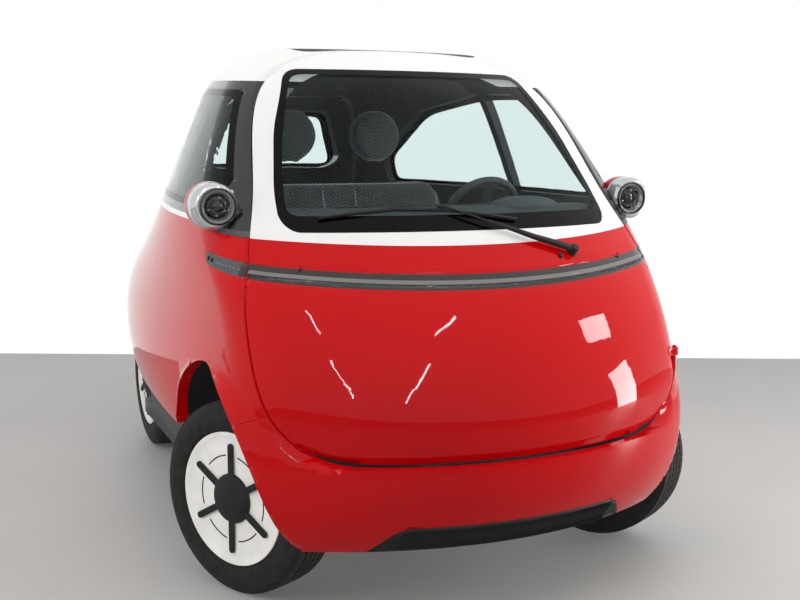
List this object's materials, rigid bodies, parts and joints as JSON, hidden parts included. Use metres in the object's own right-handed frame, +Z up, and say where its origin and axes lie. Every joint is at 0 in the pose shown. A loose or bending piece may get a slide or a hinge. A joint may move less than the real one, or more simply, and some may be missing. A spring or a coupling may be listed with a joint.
{
  "type": "microcar",
  "caption": "Two-seat electric bubble microcar with one wide front door, red below a white belt and roof, round lamps on pods and a narrow tail.",
  "frame": {"origin": "On the ground, under the middle of the car's length and width.", "axes": "+X to the car's left, -Y forward, +Z up."},
  "size_m": [1.486, 2.52, 1.4899],
  "materials": {
    "red_paint": "gloss",
    "white_paint": "gloss",
    "wheel_paint": "satin",
    "black_gloss": "gloss",
    "black_trim": "matte",
    "charcoal_trim": "matte",
    "glass": "clear",
    "tyre": "matte",
    "chassis_paint": "satin",
    "bare_steel": "brushed",
    "motor_alloy": "cast",
    "lamp_silver": "gloss",
    "lamp_glass": "clear",
    "seat_fabric": "woven"
  },
  "bodies": {
    "body": {"floor_pan": "chassis_paint", "boot_tub": "charcoal_trim", "battery_box": "chassis_paint", "drive_motor": "motor_alloy", "front_subframe": "chassis_paint", "rear_axle": "chassis_paint", "wheel_houses": "black_trim", "front_bumper": "red_paint", "grille": "black_trim", "flank_left": "red_paint", "flank_right": "red_paint", "side_strips": "black_trim", "roof": "white_paint", "sunroof": "black_trim", "window_frames": "black_gloss", "side_windows": "glass", "rear_bumper": "red_paint", "lamp_pod_left": "lamp_silver", "lamp_pod_right": "lamp_silver", "lamp_lenses": "lamp_glass", "seat_base": "seat_fabric", "seat_back": "seat_fabric", "headrests": "seat_fabric", "steering_column": "charcoal_trim"},
    "door": {"door_panel": "red_paint", "door_frame": "white_paint", "windscreen": "glass", "door_light_bar": "black_gloss", "wiper": "black_trim", "door_shelf": "charcoal_trim"},
    "hatch": {"hatch_frame": "white_paint", "hatch_panel": "red_paint", "rear_glass": "glass", "rear_light_bar": "black_gloss"},
    "steering_wheel": {"steering_wheel": "charcoal_trim"},
    "steer_left": {"knuckle_left": "bare_steel"},
    "steer_right": {"knuckle_right": "bare_steel"},
    "wheel_front_left": {"tyre_front_left": "tyre", "wheel_front_left": "wheel_paint", "hub_cap_front_left": "black_gloss"},
    "wheel_front_right": {"tyre_front_right": "tyre", "wheel_front_right": "wheel_paint", "hub_cap_front_right": "black_gloss"},
    "wheel_rear_left": {"tyre_rear_left": "tyre", "wheel_rear_left": "wheel_paint", "hub_cap_rear_left": "black_gloss"},
    "wheel_rear_right": {"tyre_rear_right": "tyre", "wheel_rear_right": "wheel_paint", "hub_cap_rear_right": "black_gloss"}
  },
  "joints": [
    {"name": "door_hinge", "type": "hinge", "parent": "body", "child": "door", "pos_m": [0.615, -1.02, 0.6], "axis": [0, 0, 1], "range_deg": [0, 80]},
    {"name": "hatch_hinge", "type": "hinge", "parent": "body", "child": "hatch", "pos_m": [0, 0.72, 1.372], "axis": [1, 0, 0], "range_deg": [0, 75]},
    {"name": "steering_wheel_turn", "type": "hinge", "parent": "body", "child": "steering_wheel", "pos_m": [0.27, -0.47, 1], "axis": [0, 0.8387, 0.5446], "range_deg": [-900, 110]},
    {"name": "steer_left", "type": "hinge", "parent": "body", "child": "steer_left", "pos_m": [0.551, -0.725, 0.2665], "axis": [0, 0, 1], "range_deg": [-63, 7]},
    {"name": "steer_right", "type": "hinge", "parent": "body", "child": "steer_right", "pos_m": [-0.551, -0.725, 0.2665], "axis": [0, 0, 1], "range_deg": [-63, 7]},
    {"name": "roll_front_left", "type": "hinge", "parent": "steer_left", "child": "wheel_front_left", "pos_m": [0.56866, -0.71561, 0.2665], "axis": [0.8829, 0.4695, 0], "continuous": true},
    {"name": "roll_rear_left", "type": "hinge", "parent": "body", "child": "wheel_rear_left", "pos_m": [0.478, 0.796, 0.2665], "axis": [1, 0, 0], "continuous": true},
    {"name": "roll_front_right", "type": "hinge", "parent": "steer_right", "child": "wheel_front_right", "pos_m": [-0.56866, -0.73439, 0.2665], "axis": [0.8829, 0.4695, 0], "continuous": true},
    {"name": "roll_rear_right", "type": "hinge", "parent": "body", "child": "wheel_rear_right", "pos_m": [-0.478, 0.796, 0.2665], "axis": [1, 0, 0], "continuous": true}
  ],
  "couplings": [
    {"joint": "steer_left", "follows": "steer_right", "ratio": 1},
    {"joint": "steering_wheel_turn", "follows": "steer_right", "ratio": 14}
  ]
}
